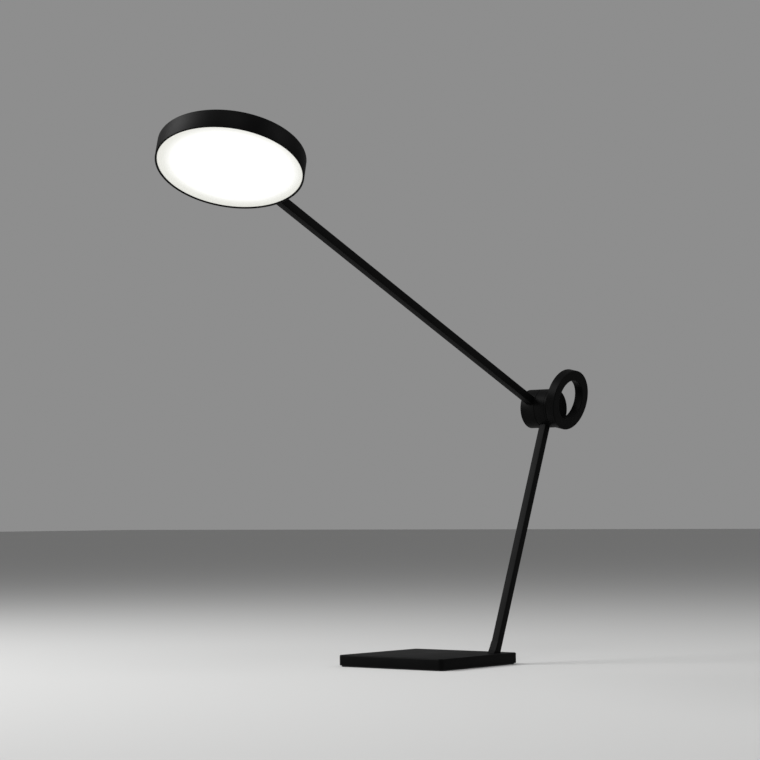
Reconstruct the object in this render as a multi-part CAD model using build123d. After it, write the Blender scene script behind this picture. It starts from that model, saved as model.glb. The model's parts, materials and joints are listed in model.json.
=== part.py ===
"""Desk lamp with a leaning stem, a long arm on a friction joint and a flat round lit head.

Millimetres, +Z up. The origin is the centre of the base's underside, on the desk.
The arm swings in a plane along X: the head is on the -X side, the ring grip faces -Y.
"""
import math
import os

from build123d import *

# ---- sizes that drive the rest ----
base_side = 155.0              # square base plate
base_thickness = 12.5          # steel plate without its pad
base_corner_radius = 6.0
base_edge_round = 1.5
pad_thickness = 1.5
foot_inset_back = 24.5         # stem foot's centre from the base's +X side
foot_inset_side = 17.0         # and from its -Y side
tube_side = 10.0               # square tube of the stem and the arm
tube_wall = 1.2
stem_length = 323.3            # from the top of the base to the joint's axis, along the stem
stem_lean = 22.2               # degrees from upright, towards +X
arm_length = 632.0             # from the joint's axis to the middle of the head
arm_rise = 22.9                # degrees above level, towards -X
head_diameter = 160.2
head_thickness = 21.5
head_roll = 9.4                # degrees about the arm's axis, towards +Y
head_rim = 2.0                 # the wall seen round the diffuser
diffuser_recess = 1.0
joint_diameter = 48.5          # the round joint between stem and arm
joint_gap = 0.35               # seen line between its two drums
grip_outer = 75.0              # ring grip
grip_inner = 49.8
grip_width = 12.0
grip_tilt = 13.4               # degrees, its top further out than its foot
light_count = 36

# ---- sizes worked out from them ----
fit = 0.05                     # gap round a piece that sits in another
foot_x = base_side / 2 - foot_inset_back
foot_y = foot_inset_side - base_side / 2
plate_low = pad_thickness
plate_top = pad_thickness + base_thickness
lean = math.radians(stem_lean)
joint_x = foot_x + stem_length * math.sin(lean)
joint_z = plate_top + stem_length * math.cos(lean)
joint_radius = joint_diameter / 2
half = tube_side / 2
tube_bore = tube_side - 2 * tube_wall
plug_side = tube_bore - 2 * fit

# joint, along Y from the stem's middle plane
axle_radius = joint_radius / 6
bush_radius = axle_radius + 2.0
insert_radius = axle_radius + 3.0
socket_radius = joint_radius * 0.55          # the tubes end this far from the axis
disc_radius = socket_radius - 0.8
stem_drum_far = half + 0.8
stem_drum_near = -(half + 3.4)
arm_drum_near = stem_drum_far + joint_gap
arm_plane = arm_drum_near + 1.35 + half      # the arm's middle plane
bush_far = arm_plane + half + 1.3
cap_near = bush_far + 4.3
cap_far = cap_near + 3.4
hub_near = stem_drum_near - 0.2
hub_far = hub_near - 3.6                     # the joint's seen end on the ring's side
insert_depth = 0.6 * half + fit              # how far the insert reaches into the stem drum

# head, from its middle plane
wall_radius = head_diameter / 2
cavity_radius = wall_radius - head_rim
head_low = -head_thickness / 2
head_high = head_thickness / 2
roof = head_high - 2.0
diffuser_low = head_low + diffuser_recess
diffuser_high = diffuser_low + 1.6
guide_low = diffuser_high + 0.1
guide_high = guide_low + 2.6
sheet_high = guide_high + 0.55
spreader_low = sheet_high + fit
spreader_high = spreader_low + 1.5
ring_outer = cavity_radius - 0.5
ring_inner = ring_outer - 1.5
strip_inner = ring_inner - 0.4
light_depth = 0.8
guide_radius = strip_inner - light_depth - 0.35
pin_radius = tube_bore / 2 - 0.3
pin_bore = pin_radius - 1.4
sleeve_radius = pin_radius + 1.0
boss_half = sleeve_radius + 3.2
boss_inner = wall_radius - 18.0
boss_low = -sleeve_radius - 0.15
pin_tip = boss_inner - 7.0
screw_circle = wall_radius * 0.8
button_x = wall_radius * 0.27
button_radius = 6.0
button_rise = 1.2
board_high = roof - 6.5
board_low = board_high - 1.6

# base, from the desk
grommet_y = foot_y + 50.0
grommet_z = plate_low + 4.9
pocket_right = base_side / 2 - 6.5
flange_low = plate_low + 3.5
flange_high = flange_low + 3.5


def spin_y(angle):
    """Turn about Y."""
    return Rot(0, angle, 0)


joint_place = Pos(joint_x, foot_y, joint_z)
stem_place = joint_place * spin_y(stem_lean)
arm_place = joint_place * Pos(0, arm_plane, 0) * spin_y(arm_rise - 90)
head_place = arm_place * Pos(0, 0, arm_length) * spin_y(90) * Rot(-head_roll, 0, 0)
grip_drop = grip_outer / 2 * math.sin(math.radians(grip_tilt))
grip_back = grip_width * math.cos(math.radians(grip_tilt))
grip_lift = 8.9
grip_front = hub_far - 1.2 - grip_drop - grip_back   # the front face's centre, along Y
grip_place = joint_place * Pos(0, grip_front, grip_lift) * Rot(90 + grip_tilt, 0, 0)


def block(x, y, z):
    """Box between the low and high value of each axis."""
    size = [axis[1] - axis[0] for axis in (x, y, z)]
    middle = [(axis[0] + axis[1]) / 2 for axis in (x, y, z)]
    return Pos(*middle) * Box(*size)


def post(radius, z, at=(0.0, 0.0)):
    """Cylinder along Z."""
    return Pos(at[0], at[1], (z[0] + z[1]) / 2) * Cylinder(radius, z[1] - z[0])


def drum(radius, y, at=(0.0, 0.0)):
    """Cylinder along Y, its centre at the X and Z given."""
    return Pos(at[0], (y[0] + y[1]) / 2, at[1]) * Rot(90, 0, 0) * Cylinder(radius, y[1] - y[0])


def rod(radius, x, at=(0.0, 0.0)):
    """Cylinder along X, its centre at the Y and Z given."""
    return Pos((x[0] + x[1]) / 2, at[0], at[1]) * Rot(0, 90, 0) * Cylinder(radius, x[1] - x[0])


def square_bar(side, z, corner):
    """Square bar along Z with rounded long edges."""
    profile = RectangleRounded(side, side, corner)
    return Pos(0, 0, z[0]) * extrude(profile, amount=z[1] - z[0])


def square_tube(z):
    """Piece of the lamp's square tube along Z."""
    return square_bar(tube_side, z, 1.0) - square_bar(tube_bore, (z[0] - 1, z[1] + 1), 0.5)


def around(shape, count, start=0.0):
    """Copies of a shape turned about Z."""
    return [Rot(0, 0, start + 360.0 * i / count) * shape for i in range(count)]


def soften_rims(shape, axis, amount):
    """Round the round edges at both ends of a turned piece."""
    rims = shape.edges().filter_by(GeomType.CIRCLE).group_by(SortBy.RADIUS)[-1]
    ends = rims.sort_by(axis)
    return fillet([ends[0], ends[-1]], amount)


# ---------------------------------------------------------------- base

foot_bolts = (foot_x - 21.0, foot_x + 11.0)
grip_posts = (grommet_y - 7.0, grommet_y + 7.0)
clip_x = (pocket_right - 14.0, pocket_right - 8.0)
clip_middle = sum(clip_x) / 2
wire_top = plate_low + 9.0


def make_base_plate():
    """Heavy square plate with a pocket underneath for the foot and the cable."""
    profile = RectangleRounded(base_side, base_side, base_corner_radius)
    plate = Pos(0, 0, plate_low) * extrude(profile, amount=base_thickness)
    plate = fillet(plate.faces().sort_by(Axis.Z)[-1].edges(), base_edge_round)
    plate = fillet(plate.faces().sort_by(Axis.Z)[0].edges(), base_edge_round / 2)
    plate -= block((foot_x - 28.5, foot_x + 17.5), (foot_y - 10.5, foot_y + 10.5),
                   (plate_low - 1, flange_high + fit))
    plate -= block((foot_x - 6, pocket_right), (foot_y + 9, grommet_y + 12), (plate_low - 1, wire_top))
    plate -= block((foot_x - half - 5.5, foot_x + half + 1.0), (foot_y - half - 0.3, foot_y + half + 0.3),
                   (plate_low, plate_top + 1))
    for x in foot_bolts:
        plate -= post(2.1, (flange_high, plate_top - 1.5), (x, foot_y))
    for y in grip_posts:
        plate += post(3.0, (plate_low + 2.2, wire_top + 0.2), (clip_middle, y))
        plate -= post(1.3, (plate_low, plate_top - 1.5), (clip_middle, y))
    plate -= rod(4.0, (pocket_right - 1, base_side / 2 + 1), (grommet_y, grommet_z))
    return plate


def make_base_pad():
    """Soft sheet that the base stands on."""
    profile = RectangleRounded(base_side - 4, base_side - 4, base_corner_radius - 1)
    return extrude(profile, amount=pad_thickness)


def make_stem_foot():
    """Steel foot: a flange under the plate, a neck through it and a peg inside the stem."""
    slope = math.tan(lean)
    face = foot_x - half / math.cos(lean) - 0.03
    flange = block((foot_x - 28, foot_x + 17), (foot_y - 10, foot_y + 10), (flange_low, flange_high))
    neck = block((foot_x - half - 5.3, foot_x + half + 0.8), (foot_y - half - 0.1, foot_y + half + 0.1),
                 (flange_high - 1, plate_top - 0.02))
    toe_side = Polyline((face - 3.6, plate_top - 1), (face - slope, plate_top - 1),
                        (face + 14 * slope, plate_top + 14), (face + 14 * slope - 0.3, plate_top + 14),
                        (face + 4 * slope - 1.6, plate_top + 4), (face - 3.6, plate_top), close=True)
    toe = Pos(0, foot_y, 0) * extrude(Plane.XZ * make_face(toe_side), amount=half - 0.2, both=True)
    low = -stem_length - 2
    peg = stem_place * square_bar(plug_side, (low, -stem_length + 32), 0.5)
    foot = flange + neck + toe + (peg - block((-999, 999), (-999, 999), (-99, plate_top - 1)))
    foot -= stem_place * post(2.2, (-stem_length - 30, -stem_length + 33))
    for x in foot_bolts:
        foot -= post(2.6, (flange_low - 1, flange_high + 1), (x, foot_y))
        foot -= post(4.3, (flange_low - 1, flange_low + 1.8), (x, foot_y))
    return foot


def make_foot_screws():
    """Screws that draw the foot up into the plate."""
    return [post(4.2, (flange_low, flange_low + 1.7), (x, foot_y))
            + post(2.05, (flange_low + 1, plate_top - 2.0), (x, foot_y)) for x in foot_bolts]


def make_cable_grommet():
    """Collar where the cable comes in at the back edge."""
    collar = rod(3.95, (pocket_right, base_side / 2 + 0.5), (grommet_y, grommet_z))
    collar += rod(4.7, (base_side / 2 + 0.02, base_side / 2 + 1.2), (grommet_y, grommet_z))
    return collar - rod(2.7, (pocket_right - 1, base_side / 2 + 2), (grommet_y, grommet_z))


def make_cord_clip():
    """Bar that holds the cable inside the base."""
    bar = block(clip_x, (grommet_y - 10, grommet_y + 10), (plate_low + 0.9, plate_low + 2.15))
    for y in grip_posts:
        bar -= post(1.6, (plate_low, plate_low + 3), (clip_middle, y))
    return bar


def make_clip_screws():
    """Screws of the cable's clip."""
    return [post(2.6, (plate_low + 0.1, plate_low + 0.88), (clip_middle, y))
            + post(1.25, (plate_low + 0.5, plate_top - 2.0), (clip_middle, y)) for y in grip_posts]


# ---------------------------------------------------------------- stem and joint

def make_stem_tube():
    """Leaning square tube, cut level where it meets the base."""
    tube = stem_place * square_tube((-stem_length - 12, -socket_radius - 0.3))
    return tube - block((-999, 999), (-999, 999), (-99, plate_top + 0.02))


def make_stem_lead():
    """Insulated wires inside the stem."""
    lead = stem_place * post(1.9, (-stem_length - 30, -socket_radius - 4))
    return lead - block((-999, 999), (-999, 999), (-99, plate_low + 1.0))


def keyed_shaft(radius, y, flat):
    """Shaft along Y with two flats."""
    return drum(radius, y) & block((-radius - 1, radius + 1), (y[0] - 1, y[1] + 1), (-flat, flat))


def make_stem_drum():
    """Half of the joint that is fixed on top of the stem."""
    body = soften_rims(drum(joint_radius, (stem_drum_near, stem_drum_far)), Axis.Y, 0.5)
    body -= spin_y(stem_lean) * square_bar(tube_side + 2 * fit, (-joint_radius - 5, -socket_radius), 1.0)
    body -= keyed_shaft(axle_radius + fit, (stem_drum_near - 1, stem_drum_far + 1), axle_radius * 0.8 + fit)
    body -= drum(insert_radius + 0.3, (stem_drum_near - 1, stem_drum_near + insert_depth + 2))
    body -= drum(disc_radius + fit, (stem_drum_far - 0.6, stem_drum_far + 1))
    hole = drum(2.0, (stem_drum_near - 1, -half + 1))
    body -= spin_y(stem_lean) * Pos(0, 0, -joint_radius * 0.76) * hole
    return joint_place * body


def make_stem_set_screw():
    """Screw that locks the stem in its drum."""
    screw = drum(1.95, (stem_drum_near + 0.2, -half - 0.02))
    screw -= drum(0.9, (stem_drum_near, stem_drum_near + 1.4))
    return stem_place * Pos(0, 0, -joint_radius * 0.76) * screw


def make_pivot_axle():
    """Bolt through the joint, kept from turning by its two flats."""
    shaft = keyed_shaft(axle_radius, (hub_far + 1.2, stem_drum_far), axle_radius * 0.8)
    shaft += drum(axle_radius, (stem_drum_far - 0.01, cap_near - 1.0))
    head = drum(axle_radius + 3.0, (cap_near - 1.7, cap_near - 0.3))
    return joint_place * (shaft + head)


def make_friction_disc():
    """Fibre disc pressed between the two drums."""
    disc = drum(disc_radius, (stem_drum_far - 0.58, arm_drum_near - 0.03))
    return joint_place * (disc - drum(axle_radius + 0.8, (stem_drum_far - 2, arm_drum_near + 1)))


def make_clamp_ring():
    """Ring grip on a round hub: turning it tightens or frees the joint."""
    height = grip_width
    ring = post(grip_outer / 2, (-height, 0)) - post(grip_inner / 2, (-height - 1, 1))
    ring = fillet(ring.edges().filter_by(GeomType.CIRCLE), 1.1)
    sector = block((-12.5, 12.5), (-grip_outer, 0), (-height - 30, -height / 2))
    foot = (post(grip_outer / 2, (-height - 30, -height / 2)) & sector)
    foot -= post(grip_inner / 2, (-height - 31, 1))
    foot = grip_place * foot & joint_place * drum(joint_radius - 0.02, (hub_far - grip_width * 2, hub_near - 1))
    hub = drum(joint_radius, (hub_far, hub_near))
    hub = joint_place * fillet(hub.edges().filter_by(GeomType.CIRCLE).sort_by(Axis.Y)[0], 1.5)
    whole = hub + foot + grip_place * ring
    return whole - joint_place * drum(insert_radius + 0.02, (hub_far + 0.8, hub_near + 1))


def make_clamp_insert():
    """Threaded brass insert of the ring grip."""
    insert = drum(insert_radius, (hub_far + 0.82, stem_drum_near + insert_depth))
    return joint_place * (insert - drum(axle_radius + fit, (hub_far + 0.9, stem_drum_far)))


def make_arm_drum():
    """Half of the joint that turns with the arm."""
    body = drum(joint_radius, (arm_drum_near, cap_near))
    rim = body.edges().filter_by(GeomType.CIRCLE).sort_by(Axis.Y)[0]
    body = fillet(rim, 0.5)
    body -= drum(bush_radius + fit, (arm_drum_near - 1, bush_far + 1))
    body -= drum(bush_radius + 5.5, (bush_far, cap_near + 1))
    socket = square_bar(tube_side + 2 * fit, (socket_radius, joint_radius + 5), 1.0)
    body -= Pos(0, arm_plane, 0) * spin_y(arm_rise - 90) * socket
    hole = drum(2.0, (arm_plane + half - 1, cap_near + 1))
    body -= spin_y(arm_rise - 90) * Pos(0, 0, joint_radius * 0.76) * hole
    return joint_place * body


def make_arm_bush():
    """Plain bearing of the arm on the axle."""
    bush = drum(bush_radius, (arm_drum_near + 0.05, bush_far - 0.05))
    return joint_place * (bush - drum(axle_radius + fit, (arm_drum_near - 1, bush_far + 1)))


def make_spring_washers():
    """Two disc springs that keep the friction even."""
    low = bush_far + 0.05
    rings = []
    for i in range(2):
        ring = drum(bush_radius + 3.0, (low + 0.95 * i, low + 0.95 * i + 0.9))
        rings.append(joint_place * (ring - drum(axle_radius + 0.4, (low - 1, low + 4))))
    return rings


def make_thrust_washer():
    """Hard washer under the axle's head."""
    low = bush_far + 0.05 + 1.95
    ring = drum(bush_radius + 2.0, (low, cap_near - 1.75))
    return joint_place * (ring - drum(axle_radius + 0.4, (low - 1, cap_near)))


def make_joint_cap():
    """Lid on the arm's side of the joint."""
    lid = drum(joint_radius, (cap_near + 0.03, cap_far))
    rim = lid.edges().filter_by(GeomType.CIRCLE).sort_by(Axis.Y)[-1]
    lid = fillet(rim, 0.8)
    collar = drum(bush_radius + 5.4, (cap_near - 1.2, cap_near + 0.5))
    collar -= drum(bush_radius + 4.2, (cap_near - 2, cap_near + 0.03))
    return joint_place * (lid + collar)


# ---------------------------------------------------------------- arm

tube_end = arm_length - wall_radius - 0.75


def make_arm_tube():
    """Long square tube from the joint to the head."""
    return arm_place * square_tube((socket_radius + 0.3, tube_end))


def make_arm_lead():
    """Insulated wires inside the arm."""
    return arm_place * post(1.9, (socket_radius + 4, arm_length - pin_tip - 1))


def make_arm_set_screw():
    """Screw that locks the arm in its drum."""
    screw = drum(1.95, (half + 0.02, cap_near - arm_plane - 0.3))
    screw -= drum(0.9, (cap_near - arm_plane - 1.8, cap_near))
    return arm_place * Pos(0, 0, joint_radius * 0.76) * screw


def make_swivel_pin():
    """Hollow pin that the head turns on, with a square root fixed in the arm's tube."""
    pin = square_bar(plug_side, (tube_end - 22, tube_end - 0.02), 0.5)
    pin += post(pin_radius, (tube_end - 1, arm_length - pin_tip))
    groove = post(pin_radius + 1, (arm_length - boss_inner + 1.0, arm_length - boss_inner + 1.9))
    pin -= groove - post(pin_radius - 0.5, (0, arm_length))
    return arm_place * (pin - post(pin_bore, (tube_end - 30, arm_length)))


def make_pin_clip():
    """Clip in the pin's groove that keeps the head on."""
    low = arm_length - boss_inner + 1.05
    clip = post(pin_radius + 1.2, (low, low + 0.8)) - post(pin_radius - 0.45, (low - 1, low + 2))
    gap = block((0, pin_radius * 3), (-pin_radius * 0.6, pin_radius * 0.6), (low - 1, low + 2))
    return arm_place * (clip - gap)


# ---------------------------------------------------------------- head

screw_spots = [(screw_circle * math.cos(math.radians(a)), screw_circle * math.sin(math.radians(a)))
               for a in (60, 180, 300)]
board_half = 15.0
board_left = button_x - 32.0
board_right = button_x + 14.0
board_spots = [(board_left + 4.0, board_half - 4.0), (board_left + 4.0, 4.0 - board_half)]


def make_head_housing():
    """Flat round cup, open underneath, with a boss for the swivel pin."""
    shell = post(wall_radius, (head_low, head_high))
    ends = shell.edges().filter_by(GeomType.CIRCLE).sort_by(Axis.Z)
    shell = fillet(ends[-1], 1.4)
    shell = fillet(shell.edges().filter_by(GeomType.CIRCLE).sort_by(Axis.Z)[0], 0.5)
    shell -= post(cavity_radius, (head_low - 1, roof))
    boss = block((boss_inner, wall_radius), (-boss_half, boss_half), (boss_low, roof + 0.5))
    shell += boss & post(cavity_radius + 0.5, (boss_low - 1, roof + 1))
    for spot in screw_spots:
        shell += post(3.6, (spreader_high + fit, roof + 0.5), spot)
        shell -= post(1.45, (spreader_high - 1, roof - 1), spot)
    for spot in board_spots:
        shell += post(3.0, (board_high + fit, roof + 0.5), spot)
        shell -= post(1.2, (board_high - 1, roof - 0.5), spot)
    shell -= post(button_radius + 0.3, (roof - 3, head_high + 1), (button_x, 0))
    shell -= rod(sleeve_radius + fit, (boss_inner - 1, wall_radius + 1))
    return head_place * shell


def make_swivel_sleeve():
    """Plain bearing for the swivel pin, with a thin collar outside."""
    sleeve = rod(sleeve_radius, (boss_inner + 0.05, wall_radius + 0.4))
    sleeve += rod(half - 0.1, (wall_radius + 0.1, wall_radius + 0.5))
    return head_place * (sleeve - rod(pin_radius + fit, (boss_inner - 1, wall_radius + 2)))


def make_heat_spreader():
    """Aluminium tray that carries the strip of lights and takes their heat."""
    tray = post(ring_outer, (spreader_low, spreader_high))
    skirt = post(ring_outer, (guide_low + 0.25, spreader_high)) - post(ring_inner, (head_low, spreader_high + 1))
    tray += skirt
    notch = block((boss_inner - 9, wall_radius), (-boss_half - 0.5, boss_half + 0.5), (sheet_high, 99))
    tray -= notch
    for spot in screw_spots:
        tray -= post(1.7, (spreader_low - 1, spreader_high + 1), spot)
        tray -= post(2.9, (spreader_low - 1, spreader_low + 0.9), spot)
    return head_place * tray


def make_spreader_screws():
    """Screws that hold the tray up in the housing."""
    return [head_place * (post(2.8, (spreader_low + 0.05, spreader_low + 0.85), spot)
                          + post(1.4, (spreader_low + 0.5, roof - 1.5), spot)) for spot in screw_spots]


def make_light_strip():
    """Bendy circuit strip inside the tray's skirt."""
    strip = post(ring_inner - 0.03, (guide_low + 0.3, sheet_high - 0.1))
    return head_place * (strip - post(strip_inner, (head_low, head_high)))


def make_lights():
    """Small lights that shine into the edge of the guide."""
    reach = strip_inner - 0.15
    light = block((reach - light_depth, reach), (-1.4, 1.4), (guide_low + 0.5, guide_high - 0.5))
    return [head_place * one for one in around(light, light_count, 180.0 / light_count)]


def make_light_guide():
    """Clear plate that spreads the light over the whole disc."""
    return head_place * post(guide_radius, (guide_low, guide_high))


def make_reflector_sheet():
    """White sheet behind the guide."""
    return head_place * post(guide_radius, (guide_high + 0.05, sheet_high))


def make_diffuser():
    """Opal disc, almost level with the rim."""
    disc = post(cavity_radius - 0.12, (diffuser_low, diffuser_high))
    edge = disc.edges().filter_by(GeomType.CIRCLE).sort_by(Axis.Z)[0]
    return head_place * fillet(edge, 0.3)


def make_diffuser_gasket():
    """Soft ring between the tray and the diffuser."""
    ring = post(ring_outer, (diffuser_high + 0.02, guide_low + 0.22))
    return head_place * (ring - post(ring_inner + 0.1, (head_low, head_high)))


def make_dimmer_board():
    """Small circuit board under the button."""
    board = block((board_left, board_right), (-board_half, board_half), (board_low, board_high))
    for spot in board_spots:
        board -= post(1.5, (board_low - 1, board_high + 1), spot)
    return head_place * board


def make_board_screws():
    """Screws of the small circuit board."""
    return [head_place * (post(2.4, (board_low - 1.2, board_low - 0.02), spot)
                          + post(1.15, (board_low - 0.5, roof - 1.2), spot)) for spot in board_spots]


def make_touch_switch():
    """Switch on the board, pressed by the button."""
    body = block((button_x - 3, button_x + 3), (-3, 3), (board_high + 0.02, board_high + 3.6))
    return head_place * (body + post(1.7, (board_high + 3, board_high + 4.1), (button_x, 0)))


def make_dimmer_button():
    """Round button in the roof of the head."""
    cap = post(button_radius, (roof - 1.0, head_high + button_rise), (button_x, 0))
    top = cap.edges().filter_by(GeomType.CIRCLE).sort_by(Axis.Z)[-1]
    cap = fillet(top, 0.6)
    cap += post(button_radius + 1.0, (roof - 1.4, roof - 0.2), (button_x, 0))
    return head_place * cap


nodes = {
    "base_plate": make_base_plate, "base_pad": make_base_pad, "stem_foot": make_stem_foot,
    "foot_screws": make_foot_screws, "cable_grommet": make_cable_grommet,
    "cord_clip": make_cord_clip, "clip_screws": make_clip_screws,
    "stem_tube": make_stem_tube, "stem_lead": make_stem_lead, "stem_drum": make_stem_drum,
    "stem_set_screw": make_stem_set_screw, "pivot_axle": make_pivot_axle,
    "friction_disc": make_friction_disc, "clamp_ring": make_clamp_ring,
    "clamp_insert": make_clamp_insert, "arm_drum": make_arm_drum, "arm_bush": make_arm_bush,
    "spring_washers": make_spring_washers, "thrust_washer": make_thrust_washer,
    "joint_cap": make_joint_cap, "arm_tube": make_arm_tube, "arm_lead": make_arm_lead,
    "arm_set_screw": make_arm_set_screw, "swivel_pin": make_swivel_pin, "pin_clip": make_pin_clip,
    "head_housing": make_head_housing, "swivel_sleeve": make_swivel_sleeve,
    "heat_spreader": make_heat_spreader, "spreader_screws": make_spreader_screws,
    "light_strip": make_light_strip, "lights": make_lights, "light_guide": make_light_guide,
    "reflector_sheet": make_reflector_sheet, "diffuser": make_diffuser,
    "diffuser_gasket": make_diffuser_gasket, "dimmer_board": make_dimmer_board,
    "board_screws": make_board_screws, "touch_switch": make_touch_switch,
    "dimmer_button": make_dimmer_button,
}

os.makedirs("parts", exist_ok=True)
for name, make in nodes.items():
    made = make()
    solids = list(made) if isinstance(made, list) else list(made.solids())
    shape = solids[0] if len(solids) == 1 else Compound(children=solids)
    export_step(shape, f"parts/{name}.step")
    print(f"{name}: {len(solids)} solid(s), {sum(s.volume for s in solids):.1f} mm3")
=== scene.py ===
"""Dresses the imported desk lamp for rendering.

The lamp has a heavy square base, a leaning stem, a friction joint with a ring grip, a long
square arm and a flat round head whose opal disc is lit from inside. Metres, +Z up, in the
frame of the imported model.
"""

import json
import logging
import math
from dataclasses import dataclass, field
from enum import Enum
from typing import Callable, Optional, Union

import bmesh
import bpy
from mathutils import Matrix, Vector


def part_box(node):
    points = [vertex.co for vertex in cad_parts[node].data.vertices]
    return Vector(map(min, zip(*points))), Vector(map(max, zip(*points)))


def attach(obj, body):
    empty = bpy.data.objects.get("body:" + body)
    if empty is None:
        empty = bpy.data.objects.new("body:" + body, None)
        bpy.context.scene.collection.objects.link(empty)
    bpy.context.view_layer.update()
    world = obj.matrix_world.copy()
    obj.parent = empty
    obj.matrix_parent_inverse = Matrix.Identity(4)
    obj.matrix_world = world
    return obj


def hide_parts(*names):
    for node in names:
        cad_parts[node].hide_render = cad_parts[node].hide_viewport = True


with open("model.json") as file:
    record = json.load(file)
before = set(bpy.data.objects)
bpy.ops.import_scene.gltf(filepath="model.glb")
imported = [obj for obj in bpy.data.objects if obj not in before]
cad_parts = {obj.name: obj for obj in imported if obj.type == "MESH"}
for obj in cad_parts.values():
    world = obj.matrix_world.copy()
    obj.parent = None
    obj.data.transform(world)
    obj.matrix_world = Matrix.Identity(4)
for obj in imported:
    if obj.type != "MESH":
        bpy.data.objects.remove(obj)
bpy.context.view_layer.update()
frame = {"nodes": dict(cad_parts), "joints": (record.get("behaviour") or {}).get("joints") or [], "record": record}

logging.basicConfig(level=logging.INFO, format="%(name)s: %(message)s")
log = logging.getLogger("desk_lamp")

MM = 0.001
TINY = 1e-6
HEAD_RADIUS = 80.1 * MM
HEAD_RIM = 2.0 * MM
OPAL_GLOW_RADIUS = 78.0 * MM
SOCKET_REACH = 13.6 * MM       # the bars start this far from the joint's axis
Colour = tuple[float, float, float]


# ---------------------------------------------------------------- shader maths


class Wire:
    """A shader socket that takes part in Python arithmetic."""

    def __init__(self, maker: "ShaderMaker", socket: bpy.types.NodeSocket) -> None:
        """Wraps a socket.

        Args:
            maker: The material's node maker.
            socket: An output socket in that material.
        """
        self.maker = maker
        self.socket = socket

    def _math(self, operation: str, first: "Number", second: "Number") -> "Wire":
        """Adds one Math node.

        Args:
            operation: The node's operation.
            first: Left value.
            second: Right value.

        Returns:
            The node's result.
        """
        return self.maker.node("ShaderNodeMath", {"operation": operation}, {0: first, 1: second})

    def __add__(self, other: "Number") -> "Wire":
        """Adds.

        Args:
            other: The right value.

        Returns:
            self + other.
        """
        return self._math("ADD", self, other)

    def __mul__(self, other: "Number") -> "Wire":
        """Multiplies.

        Args:
            other: The right value.

        Returns:
            self * other.
        """
        return self._math("MULTIPLY", self, other)

    def __truediv__(self, other: "Number") -> "Wire":
        """Divides.

        Args:
            other: The right value.

        Returns:
            self / other.
        """
        return self._math("DIVIDE", self, other)


Number = Union[Wire, float, int]


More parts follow.
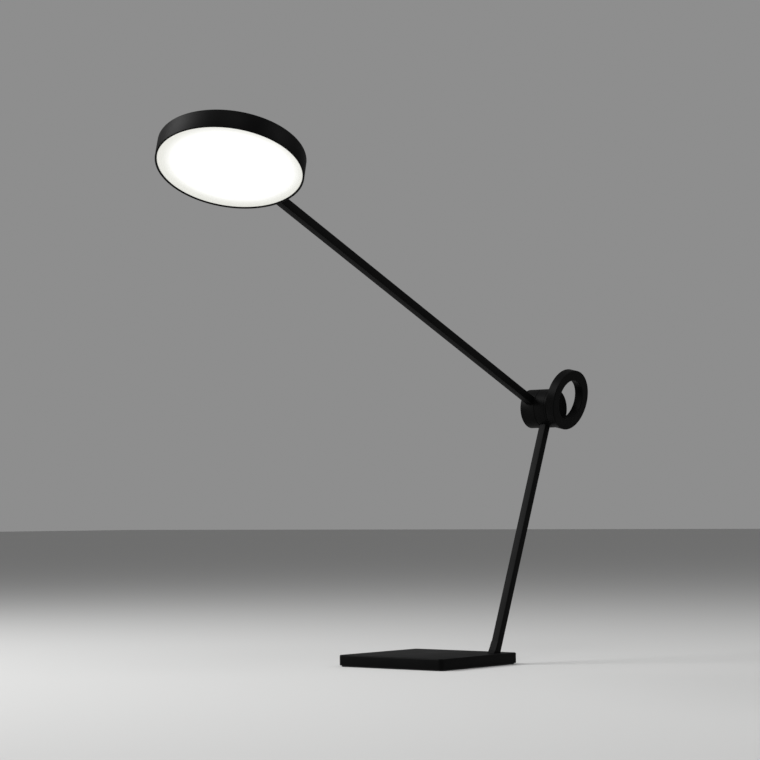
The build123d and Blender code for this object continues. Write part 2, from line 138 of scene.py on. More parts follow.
class ShaderMaker:
    """Builds one material's nodes."""

    def __init__(self, name: str) -> None:
        """Starts a material with one Principled shader.

        Args:
            name: The material's name.
        """
        self.material = bpy.data.materials.new(name)
        self.material.use_nodes = True
        self.tree = self.material.node_tree
        self.tree.nodes.clear()
        self.output = self.tree.nodes.new("ShaderNodeOutputMaterial")
        self.shader = self.tree.nodes.new("ShaderNodeBsdfPrincipled")
        self.tree.links.new(self.shader.outputs[0], self.output.inputs["Surface"])

    def _feed(self, socket: bpy.types.NodeSocket, value: object) -> None:
        """Links or sets one input socket.

        Args:
            socket: The input.
            value: A Wire, a number, or a tuple for a vector or a colour.
        """
        if isinstance(value, Wire):
            self.tree.links.new(value.socket, socket)
        elif isinstance(value, (tuple, Vector)) and len(socket.default_value) == 4 and len(value) == 3:
            socket.default_value = (*value, 1.0)
        else:
            socket.default_value = value

    def node(self, kind: str, settings: Optional[dict] = None, inputs: Optional[dict] = None,
             output: Union[int, str] = 0) -> Wire:
        """Adds a node.

        Args:
            kind: The node's type.
            settings: Its properties, set before its sockets.
            inputs: Values or Wires by socket name or number.
            output: The output that is returned.

        Returns:
            That output as a Wire.
        """
        made = self.tree.nodes.new(kind)
        for key, value in (settings or {}).items():
            setattr(made, key, value)
        for key, value in (inputs or {}).items():
            self._feed(made.inputs[key], value)
        return Wire(self, made.outputs[output])

    def coords(self, place: Optional[Matrix] = None) -> Wire:
        """Object coordinates, seen from a piece's own axes where a place is given.

        Args:
            place: Where the piece's own origin and axes stand in the row frame.

        Returns:
            The coordinates.
        """
        raw = self.node("ShaderNodeTexCoord", output="Object")
        if place is None:
            return raw
        back = place.inverted()
        return self.node("ShaderNodeMapping", {"vector_type": "POINT"}, {
            "Vector": raw, "Location": back.to_translation(), "Rotation": back.to_euler("XYZ")})

    def noise(self, where: Wire, size: float, detail: float = 2.0, rough: float = 0.5) -> Wire:
        """Noise value whose features are about one size across.

        Args:
            where: Coordinates.
            size: Feature size in metres.
            detail: Octaves.
            rough: Weight of the finer octaves.

        Returns:
            A value from 0 to 1.
        """
        return self.node("ShaderNodeTexNoise", None, {
            "Vector": where, "Scale": 1.0 / size, "Detail": detail, "Roughness": rough})

    def spread(self, value: Wire, low: float, high: float, to: tuple[float, float],
               soft: bool = False) -> Wire:
        """Maps a range of a value to another range, held at its ends.

        Args:
            value: The value.
            low: Start of its range.
            high: End of its range.
            to: Start and end of the new range.
            soft: Whether it eases in and out.

        Returns:
            The mapped value.
        """
        way = "SMOOTHSTEP" if soft else "LINEAR"
        return self.node("ShaderNodeMapRange", {"clamp": True, "interpolation_type": way}, {
            "Value": value, "From Min": low, "From Max": high, "To Min": to[0], "To Max": to[1]})

    def mix(self, share: Number, first: Union[Wire, Colour], second: Union[Wire, Colour]) -> Wire:
        """Mixes two colours.

        Args:
            share: 0 for the first, 1 for the second.
            first: A colour.
            second: A colour.

        Returns:
            The mixed colour.
        """
        made = self.tree.nodes.new("ShaderNodeMix")
        made.data_type = "RGBA"
        self._feed(made.inputs[0], share)
        self._feed(made.inputs[6], first)
        self._feed(made.inputs[7], second)
        return Wire(self, made.outputs[2])

    def bump(self, height: Wire, depth: float) -> Wire:
        """Normal that follows a height.

        Args:
            height: A value from 0 to 1.
            depth: Metres for a height of 1.

        Returns:
            The normal.
        """
        return self.node("ShaderNodeBump", None, {
            "Height": height, "Distance": depth, "Strength": 1.0})

    def finish(self, inputs: dict) -> bpy.types.Material:
        """Feeds the shader.

        Args:
            inputs: Values or Wires by the shader's socket names.

        Returns:
            The material.
        """
        for key, value in inputs.items():
            self._feed(self.shader.inputs[key], value)
        return self.material


# ---------------------------------------------------------------- finishes


@dataclass(frozen=True)
class PowderCoat:
    """Fine matt powder coat: a near black skin with a very fine leathery grain."""

    name: str = "powder_coat"
    dark: Colour = (0.0016, 0.0016, 0.0017)
    pale: Colour = (0.0028, 0.0028, 0.0028)
    rough: tuple[float, float] = (0.46, 0.56)
    specular: float = 0.037
    grain: float = 0.45 * MM
    grain_depth: float = 0.012 * MM

    def build(self) -> bpy.types.Material:
        """Makes the material.

        Returns:
            The material.
        """
        maker = ShaderMaker(self.name)
        where = maker.coords()
        cloud = maker.noise(where, 38 * MM, 3.0)
        grain = maker.noise(where, self.grain, 2.0, 0.6)
        peel = maker.noise(where, 3.2 * MM, 1.0)
        dust = maker.spread(maker.noise(where, 0.8 * MM, 1.0), 0.72, 0.80, (0.0, 0.35))
        tone = maker.mix(maker.spread(cloud, 0.3, 0.7, (0.0, 1.0)), self.dark, self.pale)
        tone = maker.mix(dust, tone, (0.006, 0.006, 0.006))
        rough = maker.spread(cloud * 0.6 + grain * 0.4, 0.3, 0.7, self.rough)
        height = grain * 0.75 + peel * 0.25
        return maker.finish({
            "Base Color": tone, "Roughness": rough, "Specular IOR Level": self.specular,
            "Normal": maker.bump(height, self.grain_depth)})


@dataclass(frozen=True)
class LitOpal:
    """Opal plastic lit from inside, a little creamier towards its rim."""

    place: Matrix
    radius: float
    name: str = "lit_opal"
    core: Colour = (0.86, 0.86, 0.85)
    rim: Colour = (0.52, 0.52, 0.475)
    bright_spot: Colour = (-1.3 * MM, -4.2 * MM, 0.0)

    def build(self) -> bpy.types.Material:
        """Makes the material.

        Returns:
            The material.
        """
        maker = ShaderMaker(self.name)
        where = maker.coords(self.place)
        moved = maker.node("ShaderNodeVectorMath", {"operation": "SUBTRACT"},
                           {0: where, 1: self.bright_spot})
        flat = maker.node("ShaderNodeVectorMath", {"operation": "MULTIPLY"},
                          {0: moved, 1: (1.0, 1.0, 0.0)})
        reach = maker.node("ShaderNodeVectorMath", {"operation": "LENGTH"}, {0: flat}, output="Value")
        drift = maker.noise(where, 60 * MM, 2.0)
        fall = maker.spread(reach / self.radius + drift * 0.06, 0.78, 1.02, (0.0, 1.0), soft=True)
        glow = maker.mix(fall, self.core, self.rim)
        fine = maker.noise(where, 0.6 * MM, 1.0)
        return maker.finish({
            "Base Color": (0.42, 0.42, 0.41), "Roughness": maker.spread(fine, 0.3, 0.7, (0.38, 0.46)),
            "Emission Color": glow, "Emission Strength": 1.0,
            "Normal": maker.bump(fine, 0.004 * MM)})


@dataclass(frozen=True)
class Moulded:
    """Moulded plastic or rubber with a fine eroded grain."""

    name: str
    colour: Colour
    rough: tuple[float, float] = (0.42, 0.56)
    grain: float = 0.35 * MM
    depth: float = 0.014 * MM
    specular: float = 0.4

    def build(self) -> bpy.types.Material:
        """Makes the material.

        Returns:
            The material.
        """
        maker = ShaderMaker(self.name)
        where = maker.coords()
        cloud = maker.noise(where, 14 * MM, 3.0)
        grain = maker.noise(where, self.grain, 2.0, 0.6)
        lighter = tuple(min(1.0, c * 1.18 + 0.002) for c in self.colour)
        tone = maker.mix(maker.spread(cloud, 0.35, 0.65, (0.0, 1.0)), self.colour, lighter)
        return maker.finish({
            "Base Color": tone, "Roughness": maker.spread(cloud, 0.3, 0.7, self.rough),
            "Specular IOR Level": self.specular, "Normal": maker.bump(grain, self.depth)})


@dataclass(frozen=True)
class BareMetal:
    """Bare metal with the fine lines that its last tool left."""

    name: str
    colour: Colour
    rough: tuple[float, float] = (0.24, 0.40)
    lines_along: Colour = (1.0, 18.0, 18.0)

    def build(self) -> bpy.types.Material:
        """Makes the material.

        Returns:
            The material.
        """
        maker = ShaderMaker(self.name)
        where = maker.coords()
        drawn = maker.node("ShaderNodeVectorMath", {"operation": "MULTIPLY"},
                           {0: where, 1: self.lines_along})
        lines = maker.noise(drawn, 3.0 * MM, 4.0, 0.6)
        cloud = maker.noise(where, 9 * MM, 2.0)
        duller = tuple(c * 0.82 for c in self.colour)
        return maker.finish({
            "Base Color": maker.mix(maker.spread(cloud, 0.3, 0.7, (0.0, 1.0)), self.colour, duller),
            "Metallic": 1.0, "Roughness": maker.spread(lines, 0.3, 0.7, self.rough),
            "Normal": maker.bump(lines, 0.006 * MM)})


@dataclass(frozen=True)
class CircuitCoat:
    """Lacquered circuit board with faint tracks under its lacquer."""

    name: str
    colour: Colour
    track: Colour

    def build(self) -> bpy.types.Material:
        """Makes the material.

        Returns:
            The material.
        """
        maker = ShaderMaker(self.name)
        where = maker.coords()
        cells = maker.node("ShaderNodeTexVoronoi", {"feature": "F1", "distance": "CHEBYCHEV"},
                           {"Vector": where, "Scale": 1.0 / (2.4 * MM)})
        tracks = maker.spread(cells, 0.40, 0.46, (0.0, 1.0))
        return maker.finish({
            "Base Color": maker.mix(tracks, self.colour, self.track), "Roughness": 0.35,
            "Coat Weight": maker.spread(tracks, 0.0, 1.0, (0.5, 0.3)),
            "Normal": maker.bump(tracks, 0.03 * MM)})


@dataclass(frozen=True)
class SoleRubber:
    """Dense rubber sheet with a fine woven press mark."""

    name: str = "sole_rubber"
    colour: Colour = (0.016, 0.016, 0.017)

    def build(self) -> bpy.types.Material:
        """Makes the material.

        Returns:
            The material.
        """
        maker = ShaderMaker(self.name)
        where = maker.coords()
        waves = [maker.node("ShaderNodeTexWave", {"bands_direction": way},
                            {"Vector": where, "Scale": 1.0 / (6.3 * 1.2 * MM)}, output="Fac")
                 for way in ("X", "Y")]
        weave = waves[0] * waves[1]
        cloud = maker.noise(where, 20 * MM, 3.0)
        tone = maker.mix(maker.spread(cloud, 0.3, 0.7, (0.0, 1.0)), self.colour, (0.028, 0.028, 0.029))
        return maker.finish({
            "Base Color": tone, "Roughness": maker.spread(cloud, 0.3, 0.7, (0.78, 0.9)),
            "Normal": maker.bump(weave, 0.12 * MM)})


# ---------------------------------------------------------------- modelling


class Round(Enum):
    """How finely a round form is divided."""

    SMALL = 48
    LARGE = 240


class Bench:
    """Modelling steps, each as a modeller does it by hand."""

    @staticmethod
    def clear() -> None:
        """Leaves edit mode and deselects everything."""
        if bpy.context.object and bpy.context.object.mode != "OBJECT":
            bpy.ops.object.mode_set(mode="OBJECT")
        bpy.ops.object.select_all(action="DESELECT")

    @staticmethod
    def block(name: str, low: Vector, high: Vector) -> bpy.types.Object:
        """Adds a block between two corners and opens it for editing.

        Args:
            name: The piece's name.
            low: Lowest corner.
            high: Highest corner.

        Returns:
            The new object, in edit mode, all selected.
        """
        Bench.clear()
        bpy.ops.mesh.primitive_cube_add(size=1.0, location=(low + high) / 2, scale=high - low)
        return Bench._open(name)

    @staticmethod
    def disc(name: str, radius: float, low: float, high: float, sides: Round,
             middle: tuple[float, float] = (0.0, 0.0)) -> bpy.types.Object:
        """Adds a round plate along Z and opens it for editing.

        Args:
            name: The piece's name.
            radius: Its radius.
            low: Its lowest level.
            high: Its highest level.
            sides: How finely it is divided.
            middle: X and Y of its axis.

        Returns:
            The new object, in edit mode, all selected.
        """
        Bench.clear()
        bpy.ops.mesh.primitive_cylinder_add(vertices=sides.value, radius=radius, depth=high - low,
                                            location=(*middle, (low + high) / 2))
        return Bench._open(name)

    @staticmethod
    def _open(name: str) -> bpy.types.Object:
        """Names the new object, applies its place and enters edit mode.

        Args:
            name: The piece's name.

        Returns:
            The object, in edit mode.
        """
        made = bpy.context.object
        made.name = made.data.name = name
        bpy.ops.object.transform_apply(location=True, rotation=True, scale=True)
        bpy.ops.object.mode_set(mode="EDIT")
        return made

    @staticmethod
    def pick_edges(test: Callable[[Vector, Vector], bool]) -> None:
        """Selects the edges whose two ends pass a test.

        Args:
            test: Takes an edge's two ends.
        """
        bpy.ops.mesh.select_mode(type="EDGE")
        bpy.ops.mesh.select_all(action="DESELECT")
        shape = bmesh.from_edit_mesh(bpy.context.object.data)
        for edge in shape.edges:
            if test(edge.verts[0].co, edge.verts[1].co):
                edge.select_set(True)
        bmesh.update_edit_mesh(bpy.context.object.data)

    @staticmethod
    def pick_faces(test: Callable[[Vector, Vector], bool]) -> None:
        """Selects the faces that pass a test.

        Args:
            test: Takes a face's middle and its normal.
        """
        bpy.ops.mesh.select_mode(type="FACE")
        bpy.ops.mesh.select_all(action="DESELECT")
        shape = bmesh.from_edit_mesh(bpy.context.object.data)
        for face in shape.faces:
            if test(face.calc_center_median(), face.normal):
                face.select_set(True)
        bmesh.update_edit_mesh(bpy.context.object.data)

    @staticmethod
    def bevel(offset: float, segments: int) -> None:
        """Rounds the selected edges.

        Args:
            offset: Width of the rounding.
            segments: How many faces it has across.
        """
        bpy.ops.mesh.bevel(offset_type="OFFSET", offset=offset, segments=segments, profile=0.5,
                           affect="EDGES", clamp_overlap=True)

    @staticmethod
    def sink(inset: float, depth: float) -> None:
        """Insets the selected faces and moves the inner ones along their normal.

        Args:
            inset: Width of the rim that stays.
            depth: How far the inner faces go in.
        """
        bpy.ops.mesh.inset(thickness=inset, depth=0.0)
        bpy.ops.mesh.extrude_region_shrink_fatten(
            TRANSFORM_OT_shrink_fatten={"value": -depth, "use_even_offset": False})

    @staticmethod
    def carve(target: bpy.types.Object, cutter: bpy.types.Object) -> None:
        """Cuts one shape out of another and removes the cutter.

        Args:
            target: The piece that is cut.
            cutter: The shape that is taken away.
        """
        Bench.clear()
        step = target.modifiers.new("carve", "BOOLEAN")
        step.operation, step.solver, step.object = "DIFFERENCE", "EXACT", cutter
        bpy.context.view_layer.objects.active = target
        target.select_set(True)
        bpy.ops.object.modifier_apply(modifier=step.name)
        bpy.data.objects.remove(cutter)

    @staticmethod
    def place(target: bpy.types.Object, matrix: Matrix) -> None:
        """Puts a piece in the row frame and applies its place to its mesh.

        Args:
            target: The piece.
            matrix: Its place.
        """
        Bench.clear()
        target.matrix_world = matrix
        bpy.context.view_layer.objects.active = target
        target.select_set(True)
        bpy.ops.object.transform_apply(location=True, rotation=True, scale=True)

    @staticmethod
    def shade(target: bpy.types.Object, degrees: float = 35.0) -> None:
        """Shades a piece smooth except across its sharper edges.

        Args:
            target: The piece.
            degrees: The angle from which an edge stays sharp.
        """
        Bench.clear()
        bpy.context.view_layer.objects.active = target
        target.select_set(True)
        bpy.ops.object.shade_smooth_by_angle(angle=math.radians(degrees))

    @staticmethod
    def hand_over(target: bpy.types.Object, body: str, slot: str, material: bpy.types.Material,
                  *nodes: str) -> bpy.types.Object:
        """Gives a finished piece its material, its body and the nodes it stands for.

        Args:
            target: The finished piece, in the row frame.
            body: The CAD body it moves with.
            slot: The record's material slot; not used.
            material: Its material.
            *nodes: The CAD nodes it stands for.

        Returns:
            The piece.
        """
        Bench.clear()
        target.data.materials.clear()
        target.data.materials.append(material)
        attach(target, body)
        if nodes:
            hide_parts(*nodes)
        return target


# ---------------------------------------------------------------- where things are


@dataclass(frozen=True)
class Layout:
    """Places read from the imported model."""

    pivot: Vector
    arm_axis: Vector
    head: Matrix
    stem: Matrix
    arm: Matrix

    @staticmethod
    def read() -> "Layout":
        """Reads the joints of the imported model.

        Returns:
            The layout.
        """
        joints = {joint["name"]: joint for joint in frame["joints"]}
        pitch, swivel, press = (joints[n] for n in ("arm_pitch", "head_swivel", "button_press"))
        low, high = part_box("stem_tube")
        pivot = Vector(pitch["pos_m"])
        pivot.y = (low.y + high.y) / 2
        along = Vector(swivel["axis"]).normalized()
        up = -Vector(press["axis"]).normalized()
        head = Layout.axes(-along, up.cross(-along), up, Vector(swivel["pos_m"]))
        stem_up = Layout.stem_way(pivot)
        stem = Layout.axes(Vector((stem_up.z, 0.0, -stem_up.x)), Vector((0.0, 1.0, 0.0)), stem_up, pivot)
        level = Vector((0.0, 1.0, 0.0))
        arm = Layout.axes(level.cross(along), level, along, Vector(pitch["pos_m"]))
        return Layout(pivot, along, head, stem, arm)

    @staticmethod
    def stem_way(pivot: Vector) -> Vector:
        """Measures which way the stem points.

        Args:
            pivot: The joint's axis in the stem's middle plane.

        Returns:
            The direction from the foot to the pivot.
        """
        tube = frame["nodes"]["stem_tube"]
        spots = [tube.matrix_world @ corner.co for corner in tube.data.vertices]
        level = min(spot.z for spot in spots)
        foot = [spot for spot in spots if spot.z < level + 0.01 * MM]
        middle = (min(spot.x for spot in foot) + max(spot.x for spot in foot)) / 2
        return (pivot - Vector((middle, pivot.y, level))).normalized()

    @staticmethod
    def axes(x: Vector, y: Vector, z: Vector, origin: Vector) -> Matrix:
        """Makes a matrix from an origin and three axes.

        Args:
            x: Its X axis.
            y: Its Y axis.
            z: Its Z axis.
            origin: Its origin.

        Returns:
            The matrix.
        """
        turn = Matrix((x, y, z)).transposed().to_4x4()
        turn.translation = origin
        return turn


# ---------------------------------------------------------------- sub-assemblies


@dataclass
class Base:
    """Heavy square base, its sole and the root of the stem."""

    layout: Layout
    coat: bpy.types.Material
    rubber: bpy.types.Material
    corner: float = 6.0 * MM
    top_round: float = 1.5 * MM
    low_round: float = 0.75 * MM
    hole_radius: float = 4.0 * MM
    hole_inset: float = 7.0 * MM
    hole_length: float = 12.0 * MM

    def slab(self) -> bpy.types.Object:
        """Models the coated plate.

        Returns:
            The piece.
        """
        low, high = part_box("base_plate")
        piece = Bench.block("base_slab", low, high)
        Bench.pick_edges(lambda a, b: abs(a.x - b.x) + abs(a.y - b.y) < TINY)
        Bench.bevel(self.corner, 8)
        Bench.pick_edges(lambda a, b: min(a.z, b.z) > high.z - TINY)
        Bench.bevel(self.top_round, 4)
        Bench.pick_edges(lambda a, b: max(a.z, b.z) < low.z + TINY)
        Bench.bevel(self.low_round, 3)
        collar_low, collar_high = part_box("cable_grommet")
        middle = (collar_low + collar_high) / 2
        cutter = Bench.disc("cutter", self.hole_radius, 0.0, self.hole_length, Round.SMALL)
        Bench.place(cutter, Matrix.Translation((high.x - self.hole_inset, middle.y, middle.z))
                    @ Matrix.Rotation(math.pi / 2, 4, "Y"))
        Bench.carve(piece, cutter)
        Bench.shade(piece)
        return Bench.hand_over(piece, "base", "coated_steel", self.coat, "base_plate")

    def sole(self) -> bpy.types.Object:
        """Models the rubber sheet under the plate, with a shallow recess inside a rim round its edge.

        Returns:
            The piece.
        """
        low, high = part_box("base_pad")
        piece = Bench.block("base_sole", low, high)
        Bench.pick_edges(lambda a, b: abs(a.x - b.x) + abs(a.y - b.y) < TINY)
        Bench.bevel(self.corner - 1 * MM, 6)
        Bench.pick_edges(lambda a, b: max(a.z, b.z) < low.z + TINY)
        Bench.bevel(0.3 * MM, 2)
        Bench.pick_faces(lambda middle, normal: normal.z < -0.99)
        bpy.ops.mesh.inset(thickness=1.8 * MM)
        bpy.ops.mesh.extrude_region_move(TRANSFORM_OT_translate={"value": (0.0, 0.0, 0.5 * MM)})
        Bench.shade(piece)
        return Bench.hand_over(piece, "base", "pad_rubber", self.rubber, "base_pad")

    def build(self) -> list[bpy.types.Object]:
        """Builds and dresses the base.

        Returns:
            The finished pieces.
        """
        return [self.slab(), self.sole()]


@dataclass
class Bars:
    """The two square tubes, stem and arm."""

    layout: Layout
    coat: bpy.types.Material
    side: float = 10.0 * MM
    corner: float = 1.0 * MM
    head_gap: float = 0.75 * MM
    cut_spare: float = 12.0 * MM

    def bar(self, name: str, low: float, high: float) -> bpy.types.Object:
        """Models a square bar along its own Z with rounded long edges.

        Args:
            name: The piece's name.
            low: Its lower end.
            high: Its upper end.

        Returns:
            The object, out of edit mode.
        """
        half = self.side / 2
        piece = Bench.block(name, Vector((-half, -half, low)), Vector((half, half, high)))
        Bench.pick_edges(lambda a, b: abs(a.z - b.z) > (high - low) / 2)
        Bench.bevel(self.corner, 5)
        Bench.clear()
        return piece

    def stem(self) -> bpy.types.Object:
        """Models the stem, cut level on the base.

        Returns:
            The piece.
        """
        low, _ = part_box("stem_tube")
        length = (self.layout.pivot.z - low.z) / self.layout.stem.col[2].z
        piece = self.bar("stem_bar", -length - self.cut_spare, -SOCKET_REACH)
        Bench.place(piece, self.layout.stem)
        bpy.ops.object.mode_set(mode="EDIT")
        bpy.ops.mesh.select_all(action="SELECT")
        bpy.ops.mesh.bisect(plane_co=(0.0, 0.0, low.z), plane_no=(0.0, 0.0, 1.0), clear_inner=True,
                            use_fill=True)
        Bench.shade(piece)
        return Bench.hand_over(piece, "base", "coated_steel", self.coat, "stem_tube")

    def arm(self) -> bpy.types.Object:
        """Models the arm.

        Returns:
            The piece.
        """
        reach = (self.layout.head.translation - self.layout.arm.translation).length
        piece = self.bar("arm_bar", SOCKET_REACH, reach - HEAD_RADIUS - self.head_gap)
        Bench.place(piece, self.layout.arm)
        Bench.shade(piece)
        return Bench.hand_over(piece, "arm", "coated_aluminium", self.coat, "arm_tube")

    def build(self) -> list[bpy.types.Object]:
        """Builds and dresses both bars.

        Returns:
            The finished pieces.
        """
        return [self.stem(), self.arm()]


@dataclass
class Head:
    """Flat round housing, its lit opal disc and its button."""

    layout: Layout
    coat: bpy.types.Material
    opal: bpy.types.Material
    plastic: bpy.types.Material
    radius: float = HEAD_RADIUS
    rim: float = HEAD_RIM
    recess: float = 1.0 * MM
    opal_depth: float = 1.6 * MM
    half: float = 10.75 * MM
    button_x: float = 0.27 * HEAD_RADIUS
    button_radius: float = 6.0 * MM

    def shell(self) -> bpy.types.Object:
        """Models the housing as one closed cup.

        Returns:
            The piece.
        """
        piece = Bench.disc("head_shell", self.radius, -self.half, self.half, Round.LARGE)
        Bench.pick_edges(lambda a, b: min(a.z, b.z) > self.half - TINY)
        Bench.bevel(1.4 * MM, 6)
        Bench.pick_faces(lambda middle, normal: normal.z < -0.9)
        Bench.sink(self.rim, 3.2 * MM)
        Bench.pick_edges(lambda a, b: max(a.z, b.z) < -self.half + TINY)
        Bench.bevel(0.45 * MM, 3)
        button = Bench.disc("cutter", self.button_radius + 0.3 * MM, self.half - 2 * MM,
                            self.half + 2 * MM, Round.SMALL, (self.button_x, 0.0))
        Bench.carve(piece, button)
        Bench.place(piece, self.layout.head)
        Bench.shade(piece)
        return Bench.hand_over(piece, "head", "coated_aluminium", self.coat, "head_housing")

    def disc(self) -> bpy.types.Object:
        """Models the opal disc with a soft edge.

        Returns:
            The piece.
        """
        low = -self.half + self.recess
        piece = Bench.disc("opal_disc", self.radius - self.rim - 0.12 * MM, low, low + self.opal_depth,
                           Round.LARGE)
        Bench.pick_edges(lambda a, b: max(a.z, b.z) < low + TINY)
        Bench.bevel(0.35 * MM, 3)
        Bench.place(piece, self.layout.head)
        Bench.shade(piece)
        return Bench.hand_over(piece, "head", "opal", self.opal, "diffuser")

    def button(self) -> bpy.types.Object:
        """Models the button with a shallow finger dish.

        Returns:
            The piece.
        """
        top = self.half + 1.2 * MM
        piece = Bench.disc("button_cap", self.button_radius, self.half - 3 * MM, top, Round.SMALL,
                           (self.button_x, 0.0))
        Bench.pick_faces(lambda middle, normal: normal.z > 0.9)
        Bench.sink(1.3 * MM, 0.12 * MM)
        bpy.ops.mesh.inset(thickness=1.6 * MM)
        Bench.sink(0.8 * MM, 0.10 * MM)
        Bench.pick_edges(lambda a, b: min(a.z, b.z) > top - TINY and max(
            (a - Vector((self.button_x, 0, a.z))).length, (b - Vector((self.button_x, 0, b.z))).length)
            > self.button_radius - TINY)
        Bench.bevel(0.5 * MM, 4)
        Bench.place(piece, self.layout.head)
        Bench.shade(piece, 50.0)
        return Bench.hand_over(piece, "button", "switch_black", self.plastic, "dimmer_button")

    def build(self) -> list[bpy.types.Object]:
        """Builds and dresses the head.

        Returns:
            The finished pieces.
        """
        return [self.shell(), self.disc(), self.button()]


class Fittings:
    """Finishes of the CAD nodes that keep their own shape."""

    def __init__(self, coat: bpy.types.Material) -> None:
        """Makes the materials of the smaller pieces.

        Args:
            coat: The powder coat.
        """
        self.coat = coat
        self.by_slot = {
            "coated_steel": coat,
            "coated_aluminium": coat,
            "pad_rubber": SoleRubber("pad_rubber_cad").build(),
            "screw_steel": BareMetal("zinc_screw", (0.52, 0.53, 0.55), (0.3, 0.45)).build(),
            "bright_steel": BareMetal("turned_steel", (0.60, 0.60, 0.61), (0.18, 0.32),
                                      (18.0, 1.0, 18.0)).build(),
            "insert_brass": BareMetal("turned_brass", (0.72, 0.52, 0.24), (0.2, 0.35),
                                      (18.0, 1.0, 18.0)).build(),
            "fibre": Moulded("pressed_fibre", (0.20, 0.11, 0.06), (0.7, 0.85), 0.5 * MM,
                             0.05 * MM).build(),
            "bearing_plastic": Moulded("bearing_plastic", (0.02, 0.02, 0.021)).build(),
            "wire_sleeve": Moulded("wire_sleeve", (0.015, 0.015, 0.016), (0.5, 0.65)).build(),
            "bare_aluminium": BareMetal("bare_aluminium", (0.74, 0.74, 0.75), (0.3, 0.48)).build(),
            "circuit_white": CircuitCoat("circuit_white", (0.75, 0.75, 0.72), (0.62, 0.62, 0.58)).build(),
            "circuit_green": CircuitCoat("circuit_green", (0.01, 0.09, 0.035),
                                         (0.02, 0.16, 0.07)).build(),
            "light_yellow": Moulded("light_yellow", (0.85, 0.72, 0.32), (0.3, 0.4)).build(),
            "clear_guide": Moulded("clear_guide", (0.86, 0.88, 0.89), (0.06, 0.12), 4 * MM,
                                   0.01 * MM).build(),
            "reflector_white": Moulded("reflector_white", (0.84, 0.84, 0.84), (0.5, 0.6)).build(),
            "gasket_rubber": Moulded("gasket_rubber", (0.012, 0.012, 0.012), (0.7, 0.85)).build(),
            "switch_black": Moulded("switch_black", (0.012, 0.012, 0.013)).build(),
            "opal": None,
        }

    def dress(self, opal: bpy.types.Material) -> int:
        """Gives every CAD node its finish.

        Args:
            opal: The lit opal's material.

        Returns:
            How many nodes were dressed.
        """
        slots = {row["node"]: row["material_slot"] for row in frame["record"]["subparts"]}
        for name, node in frame["nodes"].items():
            material = self.by_slot.get(slots[name]) or opal
            for slot in node.material_slots:
                slot.material = material
            if not node.material_slots:
                node.data.materials.append(material)
        return len(slots)


@dataclass(frozen=True)
class SoftLamp:
    """One soft square light.

    Attributes:
        name: Its name.
        where: Its place.
        size: Its side.
        watts: Its power.
    """

    name: str
    where: tuple[float, float, float]
    size: float
    watts: float


LAMPS = (
    SoftLamp("key_left", (-1.25, 1.35, 1.6), 1.3, 66.0),
    SoftLamp("front_high", (-1.35, -1.08, 2.25), 1.0, 17.0),
    SoftLamp("fill_right", (0.7, -1.75, 1.5), 0.9, 13.0),
    SoftLamp("top_soft", (0.0, 0.2, 2.6), 2.2, 5.0),
)


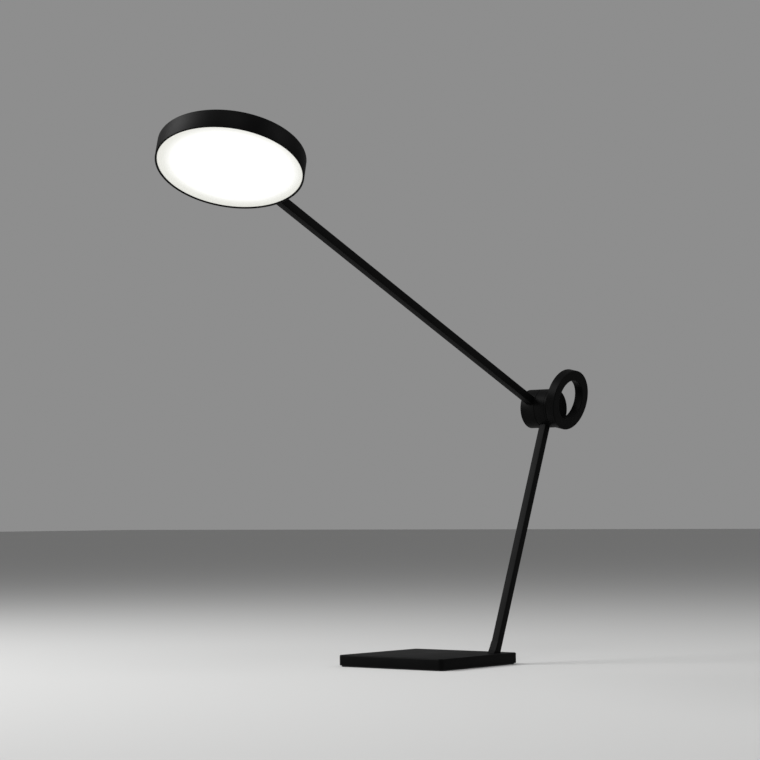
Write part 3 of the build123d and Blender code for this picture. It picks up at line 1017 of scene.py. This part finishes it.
@dataclass
class Studio:
    """Plain pale room, soft lights and the photograph's camera."""

    eye: Vector = field(default_factory=lambda: Vector((-2.2041, -1.65424, 0.18129)))
    azimuth: float = -51.95
    pitch: float = 3.39
    roll: float = -0.39
    focal_px: float = 2275.75
    frame_px: float = 760.0
    sensor: float = 36.0
    wall: Colour = (0.51, 0.51, 0.506)
    floor_size: float = 40.0
    surround: float = 0.27
    aim: Vector = field(default_factory=lambda: Vector((0.0, 0.0, 0.3)))

    def camera(self) -> bpy.types.Object:
        """Stands the camera where the photograph was taken.

        Returns:
            The camera.
        """
        a, e = math.radians(self.azimuth), math.radians(-self.pitch)
        back = Vector((math.sin(a) * math.cos(e), -math.cos(a) * math.cos(e), math.sin(e)))
        right = (-back).cross(Vector((0, 0, 1))).normalized()
        up = right.cross(-back)
        r = math.radians(self.roll)
        x = right * math.cos(r) + up * math.sin(r)
        y = -right * math.sin(r) + up * math.cos(r)
        data = bpy.data.cameras.new("photo_camera")
        data.sensor_width = self.sensor
        data.lens = self.focal_px / self.frame_px * self.sensor
        data.clip_start, data.clip_end = 0.05, 60.0
        made = bpy.data.objects.new("photo_camera", data)
        bpy.context.scene.collection.objects.link(made)
        made.matrix_world = Layout.axes(x, y, back, self.eye)
        bpy.context.scene.camera = made
        return made

    def surface(self, name: str, colour: Colour) -> bpy.types.Material:
        """Makes a plain matt stage material.

        Args:
            name: The material's name.
            colour: Its colour where light falls on it.

        Returns:
            The material.
        """
        maker = ShaderMaker(name)
        return maker.finish({"Base Color": colour, "Roughness": 0.6, "Specular IOR Level": 0.3})

    def stage(self) -> None:
        """Lays a floor that reaches beyond the picture."""
        Bench.clear()
        bpy.ops.mesh.primitive_plane_add(size=self.floor_size, location=(0, 0, 0))
        floor = bpy.context.object
        floor.name = "floor"
        floor.data.materials.append(self.surface("floor_paint", self.wall))

    def world(self) -> None:
        """Sets an even pale surround."""
        world = bpy.data.worlds.new("surround")
        bpy.context.scene.world = world
        world.use_nodes = True
        back = world.node_tree.nodes["Background"]
        back.inputs[0].default_value = (1.0, 1.0, 1.0, 1.0)
        back.inputs[1].default_value = self.surround

    def hang(self, lamp: SoftLamp) -> None:
        """Hangs one light so that it faces the lamp's middle.

        Args:
            lamp: The light.
        """
        data = bpy.data.lights.new(lamp.name, "AREA")
        data.shape, data.size, data.energy = "SQUARE", lamp.size, lamp.watts
        made = bpy.data.objects.new(lamp.name, data)
        bpy.context.scene.collection.objects.link(made)
        made.location = lamp.where
        made.rotation_mode = "QUATERNION"
        made.rotation_quaternion = (self.aim - Vector(lamp.where)).to_track_quat("-Z", "Y")

    def build(self) -> None:
        """Builds the room."""
        self.camera()
        self.stage()
        self.world()
        for lamp in LAMPS:
            self.hang(lamp)
        bpy.context.scene.view_settings.view_transform = "Standard"


def main() -> None:
    """Builds the dressed lamp and reports each piece."""
    layout = Layout.read()
    coat = PowderCoat().build()
    opal = LitOpal(layout.head, OPAL_GLOW_RADIUS).build()
    plastic = Moulded("button_plastic", (0.011, 0.011, 0.012)).build()
    log.info("dressed %d CAD nodes", Fittings(coat).dress(opal))
    for assembly in (Base(layout, coat, SoleRubber().build()), Bars(layout, coat),
                     Head(layout, coat, opal, plastic)):
        for piece in assembly.build():
            log.info("%s: %s, %d faces", type(assembly).__name__, piece.name, len(piece.data.polygons))
    Studio().build()


if __name__ == "__main__":
    main()
